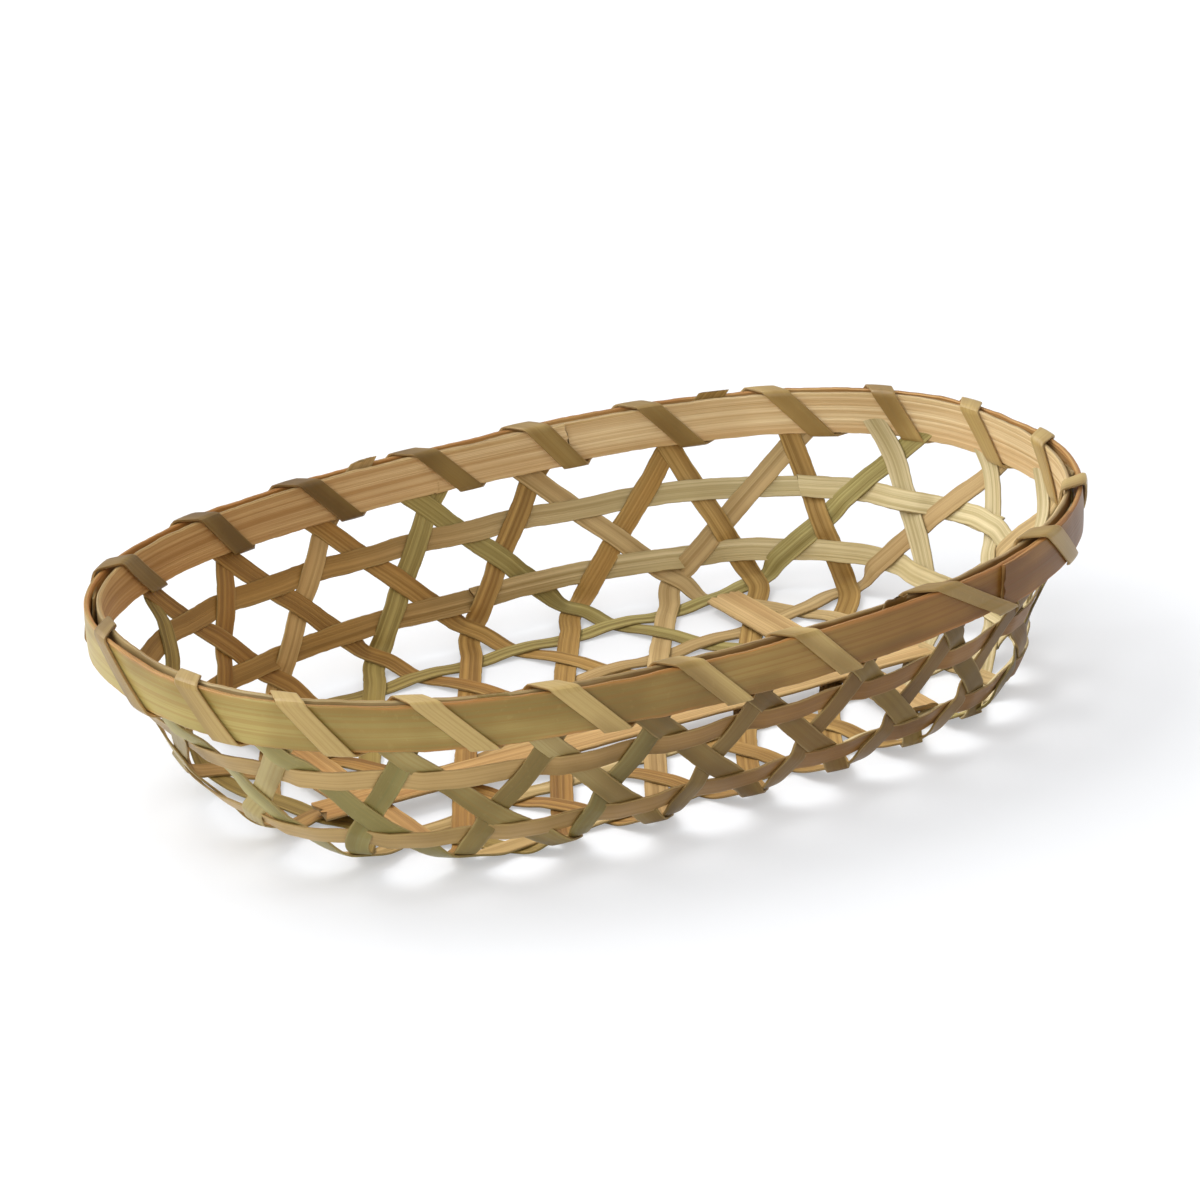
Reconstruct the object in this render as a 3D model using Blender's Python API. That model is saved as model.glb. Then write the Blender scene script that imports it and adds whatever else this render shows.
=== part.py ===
# Oval bamboo basket in an open hexagonal weave: strips in three directions cross on the floor,
# turn up at six five-sided holes, pass two hoops on the wall and end between two rim bands,
# which one slanting binding strip holds together. Three wide braces stiffen the floor.
# Metres, +Z up, the long side along X, the origin under the middle on the surface it stands on.
import math

import bmesh
import bpy
import numpy as np

# Rim, over the bands and the binding
RIM_LENGTH = 0.1815
RIM_WIDTH = 0.1225
RIM_HEIGHT = 0.0348
RIM_SADDLE = 0.0009
RIM_EXPONENT = 2.4
BAND_HEIGHT = 0.0080
BAND_THICKNESS = 0.0007
RIM_CLEARANCE = 0.00035
BAND_LAP = 0.0200
BAND_LAP_GAP = 0.0003
BAND_LAP_RAMP_SHARE = 0.25
INNER_BAND_JOINT_COLUMN = 5.5
OUTER_BAND_JOINT_COLUMN = 12.5

# Wall and floor, to the middle of the woven layer
RIM_CROSSING_HEIGHT = 0.0262
UPPER_HOOP_HEIGHT = 0.0196
UPPER_HOOP_LENGTH = 0.1605
UPPER_HOOP_WIDTH = 0.1090
UPPER_HOOP_EXPONENT = 2.5
UPPER_HOOP_SHIFT = (-0.0013, -0.0013)
LOWER_HOOP_HEIGHT = 0.0072
LOWER_HOOP_LENGTH = 0.1510
LOWER_HOOP_WIDTH = 0.1010
LOWER_HOOP_EXPONENT = 2.8
LOWER_HOOP_SHIFT = (-0.0008, -0.0013)
FOLD_HEIGHT = 0.0026
FOLD_LENGTH = 0.1400
FOLD_WIDTH = 0.0940
FOLD_EXPONENT = 3.0
FOLD_SHIFT = (0.0008, -0.0007)
FOLD_SLOPE_SHARE = 0.65

# Woven strips
STRIP_WIDTH = 0.0040
STRIP_THICKNESS = 0.0005
WEAVE_GAP = 0.00025
STRIP_END_DROP = 0.0012
HOOP_LAP_CROSSINGS = 5

# Binding strip and floor braces
BINDING_WIDTH = 0.0042
BINDING_THICKNESS = 0.00045
BINDING_CLEARANCE = 0.00025
BINDING_CORNER_SHARES = ((0.03, 0.06), (0.40, 0.42), (0.49, 0.51), (0.94, 0.97))
BINDING_SLANT_SHARE = 0.72
BRACE_WIDTH = 0.0078
BRACE_THICKNESS = 0.0007
BRACE_CLEARANCE = 0.0003
LEFT_BRACE_PLACE = -0.0528
RIGHT_BRACE_PLACE = 0.0447
LONG_BRACE_PLACE = -0.0118
LEFT_BRACE_ENDS = (-0.0290, 0.0280)
RIGHT_BRACE_ENDS = (-0.0330, 0.0340)
LONG_BRACE_ENDS = (-0.0610, 0.0590)

# Edges of the floor's hexagon of holes, clockwise from the left end of the far side
HEXAGON_SIDES = (5, 4, 1, 6, 3, 2)
HEXAGON_STEPS = ((1, 0), (1, -1), (0, -1), (-1, 0), (-1, 1), (0, 1))
COLUMNS = sum(HEXAGON_SIDES)
HEXAGON_START_COLUMN = 2
BINDING_START_COLUMN = 12
UPPER_HOOP_START_COLUMN = 9
LOWER_HOOP_START_COLUMN = 6
BINDING_SKIPPED_COLUMN = 13.5

# Where each pair of strip ends meets the rim, as shares of its length, counter-clockwise from +X
RIM_PAIR_SHARES = (
    0.4600, 0.3910, 0.3480, 0.3000, 0.2530, 0.2100, 0.1520,
    0.1050, 0.0610, 0.0160, -0.0320, -0.0790, -0.1280, -0.1680,
    -0.2100, -0.2530, -0.2930, -0.3320, -0.3820, -0.4260, -0.4730,
)

# Where the two strips of each column cross on the fold, as shares of its length, in the same order
FOLD_PAIR_SHARES = (
    0.4570, 0.3955, 0.3510, 0.3040, 0.2580, 0.2080, 0.1545,
    0.1095, 0.0610, 0.0150, -0.0320, -0.0780, -0.1240, -0.1632,
    -0.2032, -0.2450, -0.2920, -0.3340, -0.3790, -0.4220, -0.4740,
)

# Colour and roughness of each kind of piece
FINISHES = {
    "long": ((0.36, 0.25, 0.11), 0.5),
    "right": ((0.34, 0.22, 0.09), 0.5),
    "left": ((0.47, 0.38, 0.20), 0.5),
    "hoop": ((0.38, 0.29, 0.13), 0.45),
    "inner": ((0.58, 0.40, 0.22), 0.5),
    "outer": ((0.22, 0.16, 0.06), 0.4),
    "binding": ((0.27, 0.21, 0.09), 0.35),
    "brace": ((0.57, 0.36, 0.16), 0.5),
}

RELAXING_ROUNDS = 400
OUTLINE_POINTS = 720
BAND_STATIONS = 96
FLAT_MARGIN = 0.0002
MOST_FLAT_SHARE = 0.96
INWARD_SHARES = np.array([0.4, 0, 0])
SHARP_ANGLE = math.radians(40)
CHAMFER_FACE, CHAMFER_SIDE = math.cos(math.pi / 8), math.sin(math.pi / 8)

LAYER = STRIP_THICKNESS + WEAVE_GAP
FLOOR_LEVEL = (LAYER + STRIP_THICKNESS) / 2
FLOOR_TOP = LAYER + STRIP_THICKNESS
BAND_NEAR_FACE = FLOOR_LEVEL + RIM_CLEARANCE
BINDING_MIDDLE = BAND_NEAR_FACE + BAND_THICKNESS + BINDING_CLEARANCE + BINDING_THICKNESS / 2
RIM_DEPTH = BINDING_MIDDLE + BINDING_THICKNESS / 2

# Share of its slope that a strip keeps at a crossing: none on the floor, all of it on the wall
SLOPE_SHARES = ((FLOOR_LEVEL, FOLD_HEIGHT, LOWER_HOOP_HEIGHT), (0, FOLD_SLOPE_SHARE, 1))

# Height, half-length, half-width, exponent and middle of the level ovals, from the fold to the rim
LEVELS = list(zip(
    (FOLD_HEIGHT, FOLD_LENGTH / 2, FOLD_WIDTH / 2, FOLD_EXPONENT, *FOLD_SHIFT),
    (LOWER_HOOP_HEIGHT, LOWER_HOOP_LENGTH / 2, LOWER_HOOP_WIDTH / 2, LOWER_HOOP_EXPONENT, *LOWER_HOOP_SHIFT),
    (UPPER_HOOP_HEIGHT, UPPER_HOOP_LENGTH / 2, UPPER_HOOP_WIDTH / 2, UPPER_HOOP_EXPONENT, *UPPER_HOOP_SHIFT),
    (RIM_CROSSING_HEIGHT, RIM_LENGTH / 2 - RIM_DEPTH, RIM_WIDTH / 2 - RIM_DEPTH, RIM_EXPONENT, 0, 0),
))
# Length of the wall's slope from the fold up to each of those ovals
SLOPE_RUN = np.concatenate([[0], np.cumsum(np.hypot(np.diff(LEVELS[0]), np.diff(LEVELS[2])))])


def outline(height):
    # Half-length, half-width, exponent and middle of the wall's level oval at this height
    return [np.interp(height, LEVELS[0], row) for row in LEVELS[1:]]


def on_outline(point, height):
    # The plan point pushed straight out from the oval's middle onto the level oval
    a, b, n, x, y = outline(height)
    size = (abs((point[0] - x) / a) ** n + abs((point[1] - y) / b) ** n) ** (1 / n)
    return np.array([x + (point[0] - x) / size, y + (point[1] - y) / size])


def level_curve(height):
    # Plan points round a level oval, with the length run from +X to each
    angle = np.linspace(0, 2 * math.pi, OUTLINE_POINTS + 1)
    middle = outline(height)[3:]
    points = np.array([on_outline(middle + np.array([math.cos(t), math.sin(t)]), height) for t in angle])
    steps = np.linalg.norm(np.diff(points, axis=0), axis=1)
    return points, np.concatenate([[0], np.cumsum(steps)])


RIM_CURVE = level_curve(RIM_HEIGHT)
FOLD_CURVE = level_curve(FOLD_HEIGHT)
RIM_PERIMETER = RIM_CURVE[1][-1]


def curve_point(curve, share):
    # Plan point at a share of a curve's length
    points, run = curve
    return np.array([np.interp((share % 1) * run[-1], run, points[:, k]) for k in (0, 1)])


def rim_point(share, outwards, rise):
    # A point by its share of the rim's length, its distance out from the middle of the
    # woven layer, and its distance above the rim's top edge
    place = curve_point(RIM_CURVE, share)
    step = 1 / OUTLINE_POINTS
    along = curve_point(RIM_CURVE, share + step) - curve_point(RIM_CURVE, share - step)
    out = np.array([along[1], -along[0]]) / np.linalg.norm(along)
    return np.append(place + outwards * out, RIM_HEIGHT + saddle(place) + rise)


def fold_place(column):
    # Where the two strips of a column cross on the fold
    return curve_point(FOLD_CURVE, FOLD_PAIR_SHARES[column % COLUMNS])


def rim_place(column):
    # Where they cross under the rim bands
    return curve_point(RIM_CURVE, RIM_PAIR_SHARES[column % COLUMNS])


def wall_place(low_column, high_column, run):
    # A point of the strip that rises straight from one column of the fold to another of the
    # rim, by the length of the slope below it
    height = np.interp(run, SLOPE_RUN, LEVELS[0])
    low, high = fold_place(low_column), rim_place(high_column)
    return np.append(on_outline(low + (high - low) * run / SLOPE_RUN[-1], height), height)


def saddle(point):
    # The ends of the rim stand a little higher than its long sides
    turn = math.atan2(point[1] / RIM_WIDTH, point[0] / RIM_LENGTH)
    return RIM_SADDLE * math.cos(2 * turn)


def rim_share(column):
    # Share of the rim's length at a column, which need not be whole
    columns = np.arange(-1, COLUMNS + 2)
    shares = [RIM_PAIR_SHARES[int(c) % COLUMNS] - math.floor(c / COLUMNS) for c in columns]
    turn, within = divmod(column, COLUMNS)
    return float(np.interp(within, columns, shares)) - turn


def holes():
    # The holes of the weave: lattice points on the floor, then two rings of them up the wall
    corner = [0, 0]
    edge = []
    for side, step in zip(HEXAGON_SIDES, HEXAGON_STEPS):
        for _ in range(side):
            edge.append(tuple(corner))
            corner = [corner[0] + step[0], corner[1] + step[1]]
    floor = set(edge)
    for row in {point[1] for point in edge}:
        ends = [point[0] for point in edge if point[1] == row]
        floor.update((p, row) for p in range(min(ends), max(ends) + 1))
    return edge, floor


def triangles(edge, floor):
    # Neighbouring holes by threes, counter-clockwise seen from inside
    found = []
    for p, q in sorted(floor):
        for second, third in (((p + 1, q), (p, q + 1)), ((p + 1, q), (p + 1, q - 1))):
            if second in floor and third in floor:
                turned = third[1] > q
                found.append(((p, q), second, third) if turned else ((p, q), third, second))
    fold = [edge[j - HEXAGON_START_COLUMN] for j in range(COLUMNS)]
    low = [("low", j) for j in range(COLUMNS)]
    high = [("high", j) for j in range(COLUMNS)]
    for j in range(COLUMNS):
        k = (j + 1) % COLUMNS
        found.append((fold[j], fold[k], low[j]))
        found.append((fold[k], low[k], low[j]))
        found.append((low[j], high[k], high[j]))
        found.append((low[j], low[k], high[k]))
    return found, fold, low, high


def trace(start, beyond, left):
    # Follows one strip across the triangles, turning left and right by turns.
    # Each step is the pair of holes that it passes between, and whether it lies on the inside.
    a, b = start
    path = []
    seen = set()
    while True:
        path.append((frozenset((a, b)), left))
        if (a, b) not in beyond or (a, b, left) in seen:
            return path
        seen.add((a, b, left))
        c = beyond[a, b]
        a, b = (a, c) if left else (c, b)
        left = not left


def weave():
    # Every strip as its list of crossings, by name, the places of the wall's crossings, and
    # which of those are under the rim
    edge, floor = holes()
    faces, fold, low, high = triangles(edge, floor)
    beyond = {}
    for a, b, c in faces:
        beyond[a, b], beyond[b, c], beyond[c, a] = c, a, b
    strips = {}
    counts = {"long": 0, "right": 0, "left": 0}
    done = set()
    for j in range(COLUMNS):
        for left in (True, False):
            path = trace((high[(j + 1) % COLUMNS], high[j]), beyond, left)
            ends = frozenset((path[0], path[-1]))
            if ends not in done:
                done.add(ends)
                kind = direction(path, floor)
                counts[kind] += 1
                strips[f"{kind}_strip_{counts[kind]}"] = path
    j, k = UPPER_HOOP_START_COLUMN, LOWER_HOOP_START_COLUMN
    upper = trace((low[j], high[j + 1]), beyond, True)[:-1]
    lower = trace((fold[k + 1], low[k]), beyond, False)[:-1]
    strips["hoop_upper"] = upper + upper[:HOOP_LAP_CROSSINGS]
    strips["hoop_lower"] = lower + lower[:HOOP_LAP_CROSSINGS]
    wall = {}
    for j in range(COLUMNS):
        k = (j + 1) % COLUMNS
        narrow, wide = (math.dist(place(j), place(k)) for place in (fold_place, rim_place))
        halfway = SLOPE_RUN[-1] * narrow / (narrow + wide)
        wall[frozenset((fold[j], fold[k]))] = wall_place(j, j, SLOPE_RUN[0])
        wall[frozenset((fold[j], low[j]))] = wall_place(j, j - 1, SLOPE_RUN[1])
        wall[frozenset((fold[k], low[j]))] = wall_place(j, j + 1, SLOPE_RUN[1])
        wall[frozenset((low[j], low[k]))] = (wall_place(j, k, halfway) + wall_place(k, j, halfway)) / 2
        wall[frozenset((low[j], high[j]))] = wall_place(j - 1, j, SLOPE_RUN[2])
        wall[frozenset((low[j], high[k]))] = wall_place(j + 1, j, SLOPE_RUN[2])
        wall[frozenset((high[j], high[k]))] = wall_place(j, j, SLOPE_RUN[3])
    rim = {frozenset((high[j], high[(j + 1) % COLUMNS])) for j in range(COLUMNS)}
    return strips, wall, rim


def lattice_place(crossing):
    # Middle of two neighbouring floor holes, on the even triangular lattice
    (p, q), (r, s) = crossing
    return np.array([(p + r) / 2 + (q + s) / 4, (q + s) / 2 * math.sqrt(3) / 2])


def direction(path, floor):
    # Which of the weave's three directions a strip takes over the floor
    inner = [lattice_place(crossing) for crossing, _ in path if crossing <= floor]
    run = inner[-1] - inner[0]
    slope = math.atan2(run[1], run[0])
    return ("long", "right", "left")[round(3 * slope / math.pi) % 3]


def settle(strips, wall):
    # Places each crossing of the floor midway between its neighbours along both strips
    near = {}
    for path in strips.values():
        keys = [crossing for crossing, _ in path]
        for first, second in zip(keys, keys[1:]):
            near.setdefault(first, set()).add(second)
            near.setdefault(second, set()).add(first)
    middle = np.array([*FOLD_SHIFT, FLOOR_LEVEL])
    places = {crossing: wall.get(crossing, middle) for crossing in near}
    for _ in range(RELAXING_ROUNDS):
        for crossing, others in near.items():
            if crossing not in wall:
                places[crossing] = sum(places[other] for other in others) / len(others)
                places[crossing][2] = FLOOR_LEVEL
    for crossing in wall:
        lift = saddle(places[crossing]) * places[crossing][2] / RIM_HEIGHT
        places[crossing] = places[crossing] + np.array([0, 0, lift])
    return places


def unit(vector):
    return vector / np.linalg.norm(vector)


def inward(point):
    # Level direction square to the rim's outline, towards the inside
    a, b, n, *_ = outline(RIM_HEIGHT)
    slope = [abs(point[k] / size) ** (n - 1) * math.copysign(1, point[k]) / size
             for k, size in ((0, a), (1, b))]
    return -unit(np.array([*slope, 0]))


def rim_end(point, heading):
    # Where a strip that rises from its last crossing ends, below the rim's top edge
    top = RIM_HEIGHT + saddle(point) - STRIP_END_DROP
    square = inward(point)
    along = heading - square * (heading @ square)
    return np.append(on_outline(point + along * (top - point[2]) / along[2], RIM_HEIGHT), top)


def headings(path, places, rim):
    # Unit direction of a strip at each of its crossings, level where it lies on the floor
    points = [places[crossing] for crossing, _ in path]
    steps = [unit(b - a) for a, b in zip(points, points[1:])]
    found = [unit(a + b) for a, b in zip(steps, steps[1:])]
    ends = []
    for k, step in ((0, -steps[0]), (-1, steps[-1])):
        ends.append(unit(rim_end(points[k], step) - points[k]) if path[k][0] in rim else step)
    found = [-ends[0], *found, ends[1]]
    return [unit(way * [1, 1, np.interp(point[2], *SLOPE_SHARES)]) for way, point in zip(found, points)]


def ribbons(strips, places, rim):
    # Stations of every woven strip: middle, direction across and direction through it
    runs = {name: headings(path, places, rim) for name, path in strips.items()}
    stacks = {}
    for name, path in strips.items():
        for k, (crossing, inside) in enumerate(path):
            stacks.setdefault(crossing, []).append((inside, k, name))
    found = {}
    for name, path in strips.items():
        points = [places[crossing] for crossing, _ in path]
        stations = []
        flats = []
        for k, (crossing, inside) in enumerate(path):
            stack = sorted(stacks[crossing])
            other = next(entry for entry in stack if entry[2] != name)
            heading, across = runs[name][k], runs[other[2]][other[1]]
            up = unit(np.cross(heading, across))
            if up @ (np.array([0, 0, RIM_HEIGHT]) + points[k] * INWARD_SHARES - points[k]) < 0:
                up = -up
            level = stack.index((inside, k, name)) - (len(stack) - 1) / 2
            lean = abs(heading @ across)
            reach = STRIP_WIDTH / 2 * (1 + lean) / math.sqrt(1 - lean ** 2) + FLAT_MARGIN
            flats.append(reach)
            stations.append((heading, up, level * LAYER))
        found[name] = []
        for k, (heading, up, offset) in enumerate(stations):
            before = after = flats[k]
            if k > 0:
                room = MOST_FLAT_SHARE * np.linalg.norm(points[k] - points[k - 1])
                before *= min(1, room / (flats[k] + flats[k - 1]))
            if k < len(points) - 1:
                room = MOST_FLAT_SHARE * np.linalg.norm(points[k + 1] - points[k])
                after *= min(1, room / (flats[k] + flats[k + 1]))
            middle = points[k] + up * offset
            pair = [(middle - heading * before, np.cross(up, heading), up),
                    (middle + heading * after, np.cross(up, heading), up)]
            if path[k][0] in rim:
                sign = -1 if k == 0 else 1
                end = rim_end(points[k], sign * heading)
                through = inward(end)
                tip = (end + through * offset, np.cross(through, heading), through)
                pair = [tip, *pair[1:]] if k == 0 else [*pair[:1], tip]
                pair.insert(1, (middle, np.cross(up, heading), up))
            found[name] += pair
    return found


def bamboo(name, colour, roughness):
    material = bpy.data.materials.new(name)
    material.use_nodes = True
    shader = material.node_tree.nodes["Principled BSDF"]
    shader.inputs["Base Color"].default_value = (*colour, 1)
    shader.inputs["Roughness"].default_value = roughness
    shader.inputs["Metallic"].default_value = 0
    return material


def swept(name, kind, stations, width, thickness):
    # A flat strip through the stations, closed at both ends
    corners = []
    for middle, across, through in stations:
        side, face = unit(across) * width / 2, through * thickness / 2
        corners += [middle - side - face, middle + side - face, middle + side + face, middle - side + face]
    prism(name, kind, corners)


def prism(name, kind, corners):
    # Four corners a station, joined along the strip
    count = len(corners) // 4
    faces = [(3, 2, 1, 0), tuple(4 * count - 4 + k for k in range(4))]
    for j in range(count - 1):
        for k in range(4):
            low, next_k = 4 * j, (k + 1) % 4
            faces.append((low + k, low + next_k, low + 4 + next_k, low + 4 + k))
    mesh = bpy.data.meshes.new(name)
    mesh.from_pydata([tuple(corner) for corner in corners], [], faces)
    mesh.materials.append(bamboo(name, *FINISHES[kind]))
    shape = bmesh.new()
    shape.from_mesh(mesh)
    bmesh.ops.recalc_face_normals(shape, faces=shape.faces)
    shape.to_mesh(mesh)
    shape.free()
    mesh.shade_smooth()
    mesh.set_sharp_from_angle(angle=SHARP_ANGLE)
    obj = bpy.data.objects.new(name, mesh)
    bpy.context.scene.collection.objects.link(obj)


def rim_band(kind, side, joint_column):
    # One band of the rim; side is 1 outside the strips and -1 inside them. Its ends are shaved
    # thin where they lap: the first lies on the last, on the side away from the strips.
    start = rim_share(joint_column)
    lap = BAND_LAP / RIM_PERIMETER
    ramp = BAND_LAP_RAMP_SHARE * lap
    turns = np.union1d(np.linspace(0, 1 + lap, BAND_STATIONS), (lap, lap + ramp, 1 - ramp, 1))
    face = (BAND_THICKNESS - BAND_LAP_GAP) / 2
    shaved_near = np.interp(turns, (lap, lap + ramp), (BAND_THICKNESS - face, 0))
    shaved_far = np.interp(turns, (1 - ramp, 1), (BAND_THICKNESS, face))
    corners = []
    for turn, depths in zip(turns, zip(shaved_near, shaved_far)):
        near, far = (side * (BAND_NEAR_FACE + depth) for depth in depths)
        corners += [rim_point(start + turn, near, -BAND_HEIGHT), rim_point(start + turn, far, -BAND_HEIGHT),
                    rim_point(start + turn, far, 0), rim_point(start + turn, near, 0)]
    prism(f"rim_{kind}_band", kind, corners)


def binding_columns():
    # The columns between which the binding passes under the rim, one after another
    gaps = [BINDING_START_COLUMN + 1 / 2 + k for k in range(COLUMNS + 1)]
    return [gap for gap in gaps if gap != BINDING_SKIPPED_COLUMN]


def rim_binding():
    # One strip wound round both bands: up outside, over the top edge, down inside and under,
    # always on towards the higher columns
    away, clear = BINDING_MIDDLE, BINDING_CLEARANCE + BINDING_THICKNESS / 2
    low = -BAND_HEIGHT - clear
    corner_places = ((away, low), (away, clear), (-away, clear), (-away, low))
    turn = []
    for (out, rise), (near, far) in zip(corner_places, BINDING_CORNER_SHARES):
        side, top = math.copysign(1, out), math.copysign(1, rise)
        level = (out - side * clear, rise, (side * CHAMFER_SIDE, top * CHAMFER_FACE))
        upright = (out, rise - top * clear, (side * CHAMFER_FACE, top * CHAMFER_SIDE))
        pair = (level, upright) if side * top < 0 else (upright, level)
        turn += [(*pair[0], near), (*pair[1], far)]
    for k in (5, 1):
        (out, low_rise, _, start), (_, high_rise, _, end) = turn[k], turn[k + 1]
        side = math.copysign(1, out)
        turn.insert(k + 1, (out, (low_rise + high_rise) / 2, (side, 0), (start + end) / 2))
    half = BINDING_WIDTH / 2 / BINDING_SLANT_SHARE / RIM_PERIMETER
    gaps = binding_columns()
    corners = []
    for first, second in zip(gaps, gaps[1:]):
        start, end = rim_share(first), rim_share(second)
        for out, rise, (across, up), share in turn:
            middle = start + (end - start) * share
            for side, face in ((-1, -1), (1, -1), (1, 1), (-1, 1)):
                through = face * BINDING_THICKNESS / 2
                corners.append(rim_point(middle + side * half, out + across * through, rise + up * through))
    prism("rim_binding", "binding", corners)


def brace(name, ends, place, lengthwise, level):
    # A wide straight brace lying on the floor strips
    stations = []
    for end in ends:
        middle = (end, place, level) if lengthwise else (place, end, level)
        across = (0, 1, 0) if lengthwise else (1, 0, 0)
        stations.append((np.array(middle), np.array(across, float), np.array([0, 0, 1.0])))
    swept(name, "brace", stations, BRACE_WIDTH, BRACE_THICKNESS)


def main():
    for obj in list(bpy.data.objects):
        bpy.data.objects.remove(obj)
    strips, wall, rim = weave()
    for name, stations in ribbons(strips, settle(strips, wall), rim).items():
        swept(name, name.split("_")[0], stations, STRIP_WIDTH, STRIP_THICKNESS)
    rim_band("inner", -1, INNER_BAND_JOINT_COLUMN)
    rim_band("outer", 1, OUTER_BAND_JOINT_COLUMN)
    rim_binding()
    level = FLOOR_TOP + BRACE_CLEARANCE + BRACE_THICKNESS / 2
    brace("floor_brace_left", LEFT_BRACE_ENDS, LEFT_BRACE_PLACE, False, level)
    brace("floor_brace_right", RIGHT_BRACE_ENDS, RIGHT_BRACE_PLACE, False, level)
    level += BRACE_THICKNESS + BRACE_CLEARANCE
    brace("floor_brace_long", LONG_BRACE_ENDS, LONG_BRACE_PLACE, True, level)


main()
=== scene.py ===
import math

import bpy
import numpy as np
from mathutils import Matrix, Vector


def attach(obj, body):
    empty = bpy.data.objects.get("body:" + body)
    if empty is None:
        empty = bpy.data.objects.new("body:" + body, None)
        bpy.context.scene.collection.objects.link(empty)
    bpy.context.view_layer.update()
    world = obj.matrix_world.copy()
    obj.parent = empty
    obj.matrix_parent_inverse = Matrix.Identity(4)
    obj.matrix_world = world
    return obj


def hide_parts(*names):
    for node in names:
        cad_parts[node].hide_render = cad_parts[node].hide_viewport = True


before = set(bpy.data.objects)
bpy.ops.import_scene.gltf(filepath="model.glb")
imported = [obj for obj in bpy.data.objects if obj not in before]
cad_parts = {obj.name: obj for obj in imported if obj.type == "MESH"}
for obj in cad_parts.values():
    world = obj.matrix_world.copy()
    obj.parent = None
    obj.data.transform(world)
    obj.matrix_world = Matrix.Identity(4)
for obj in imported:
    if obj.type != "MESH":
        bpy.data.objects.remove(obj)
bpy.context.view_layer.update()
print("frame loaded:", len(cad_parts), "nodes")

# Metres throughout. The long side of the basket lies along X and it stands on the plane z = 0.
rim = {
    "length": 0.1815, "width": 0.1225, "height": 0.0348,
    "saddle": 0.0009,           # how much the ends stand above the long sides
    "bandHeight": 0.0080,
    "tangentShare": 0.0015,     # how far to each side of a place its direction is read
}
wall = {   # height, length, width, exponent and middle of the level ovals
    "rim": (0.0262, 0.1767, 0.1177, 2.4, 0.0, 0.0),
    "upperHoop": (0.0196, 0.1625, 0.1105, 2.5, -0.0013, -0.0013),
    "lowerHoop": (0.0072, 0.1510, 0.1010, 2.8, -0.0008, -0.0013),
    "fold": (0.0026, 0.1400, 0.0940, 3.0, 0.0008, -0.0007),
    "foldSlope": 0.65,
    "upperTilt": -0.010, "lowerHeight": 0.0078, "lowerTilt": -0.006,   # of the hoops, rising to the left
    "upperFarDrop": 0.0012, "lowerFarDrop": 0.0003,   # how much lower they run along the far side
    "straight": (0.004, 0.036),                        # the wall is straight from fold to rim beyond here
}
strand = {
    "width": 0.0040, "thickness": 0.00046,
    "layer": 0.00052,           # from one woven layer to the next
    "flatShare": 0.55, "mostFlat": 0.30,   # of what a crossing covers, and of the way to the next one
    "endDrop": 0.0012,          # ends of strips below the top of the rim
    "lapCrossings": 5,
    "upperStart": 9, "lowerStart": 6,   # columns at which the hoops begin
    "inward": (-0.6, -1.0, -1.0),   # the upper side of a crossing faces this way, times its place
    "settleRounds": 400,
}
floorLevel = 0.000625
hexagonSides = (5, 4, 1, 6, 3, 2)   # edges of the floor's hexagon of holes, clockwise from the far left
hexagonSteps = ((1, 0), (1, -1), (0, -1), (-1, 0), (-1, 1), (0, 1))
hexagonStart = 2                    # column at the first hole of the hexagon's edge
columnCount = sum(hexagonSides)
view = {   # the camera, as solved on the rim, the hoops and the floor of the photographed basket
    "azimuth": -28.056, "elevation": 21.401, "roll": -3.497, "distance": 0.878366,
    "sideways": 0.001315, "upwards": 0.003334, "aim": (-0.0015, -0.0014, 0.020), "lens": 151.3, "sensor": 36,
}
photoSize = 1200
# where the lines of a column's two strips meet, in the photo's pixels, right and down: each line was read off
# an enlarged part of the photo, and the meeting point worked out
seenUnderRim = {
    1: (151.7, 593.8), 2: (226, 557.5), 3: (324.1, 529.6), 4: (428.4, 508.2), 5: (532.2, 479),
    6: (669.5, 447.6), 7: (792.8, 442.6), 8: (894, 455.6), 9: (991.7, 471.1), 10: (1044.5, 513.5),
}
seenOnFold = {
    2: (279.5, 681), 3: (377, 658), 4: (471.5, 630.5), 5: (573.7, 610), 6: (674.7, 578.5),
    7: (755, 580.5), 8: (846.7, 597),
}
# the columns that are hidden, blurred or hard to read, given as shares of the rim's or the fold's length,
# counter-clockwise from +X
hiddenRimShares = {
    0: 0.456, 11: -0.080, 12: -0.128, 13: -0.168, 14: -0.210, 15: -0.253, 16: -0.293, 17: -0.332,
    18: -0.382, 19: -0.426, 20: -0.473,
}
hiddenFoldShares = {
    0: 0.459, 1: 0.402, 9: 0.006, 10: -0.042, 11: -0.080, 12: -0.124, 13: -0.163, 14: -0.203, 15: -0.245,
    16: -0.292, 17: -0.334, 18: -0.379, 19: -0.422, 20: -0.474,
}
search = {   # shares along the far side, and heights, among which the crossings read off the photo are sought
    "shares": (-0.060, 0.460, 0.0002),
    "underRim": (0.0215, 0.0262, 0.0001), "onFold": (0.0008, 0.0050, 0.0001),
    "hiddenUnderRim": 0.0250, "hiddenOnFold": 0.0026,
}
ovals = np.array([wall[key] for key in ("fold", "lowerHoop", "upperHoop", "rim")])


def unit(vectors):
    # vectors over their own lengths
    return vectors / np.linalg.norm(vectors, axis=-1, keepdims=True)


def ontoOval(points, height):
    # pushed straight out from the oval's middle until |x/a|^n + |y/b|^n = 1, all read off the wall
    length, width, n, *middle = (np.interp(height, ovals[:, 0], ovals[:, k]) for k in range(1, 6))
    away = np.asarray(points, float)[..., :2] - middle
    size = (np.abs(away[..., 0] * 2 / length) ** n + np.abs(away[..., 1] * 2 / width) ** n) ** (1 / n)
    return middle + away / size[..., None]


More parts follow.
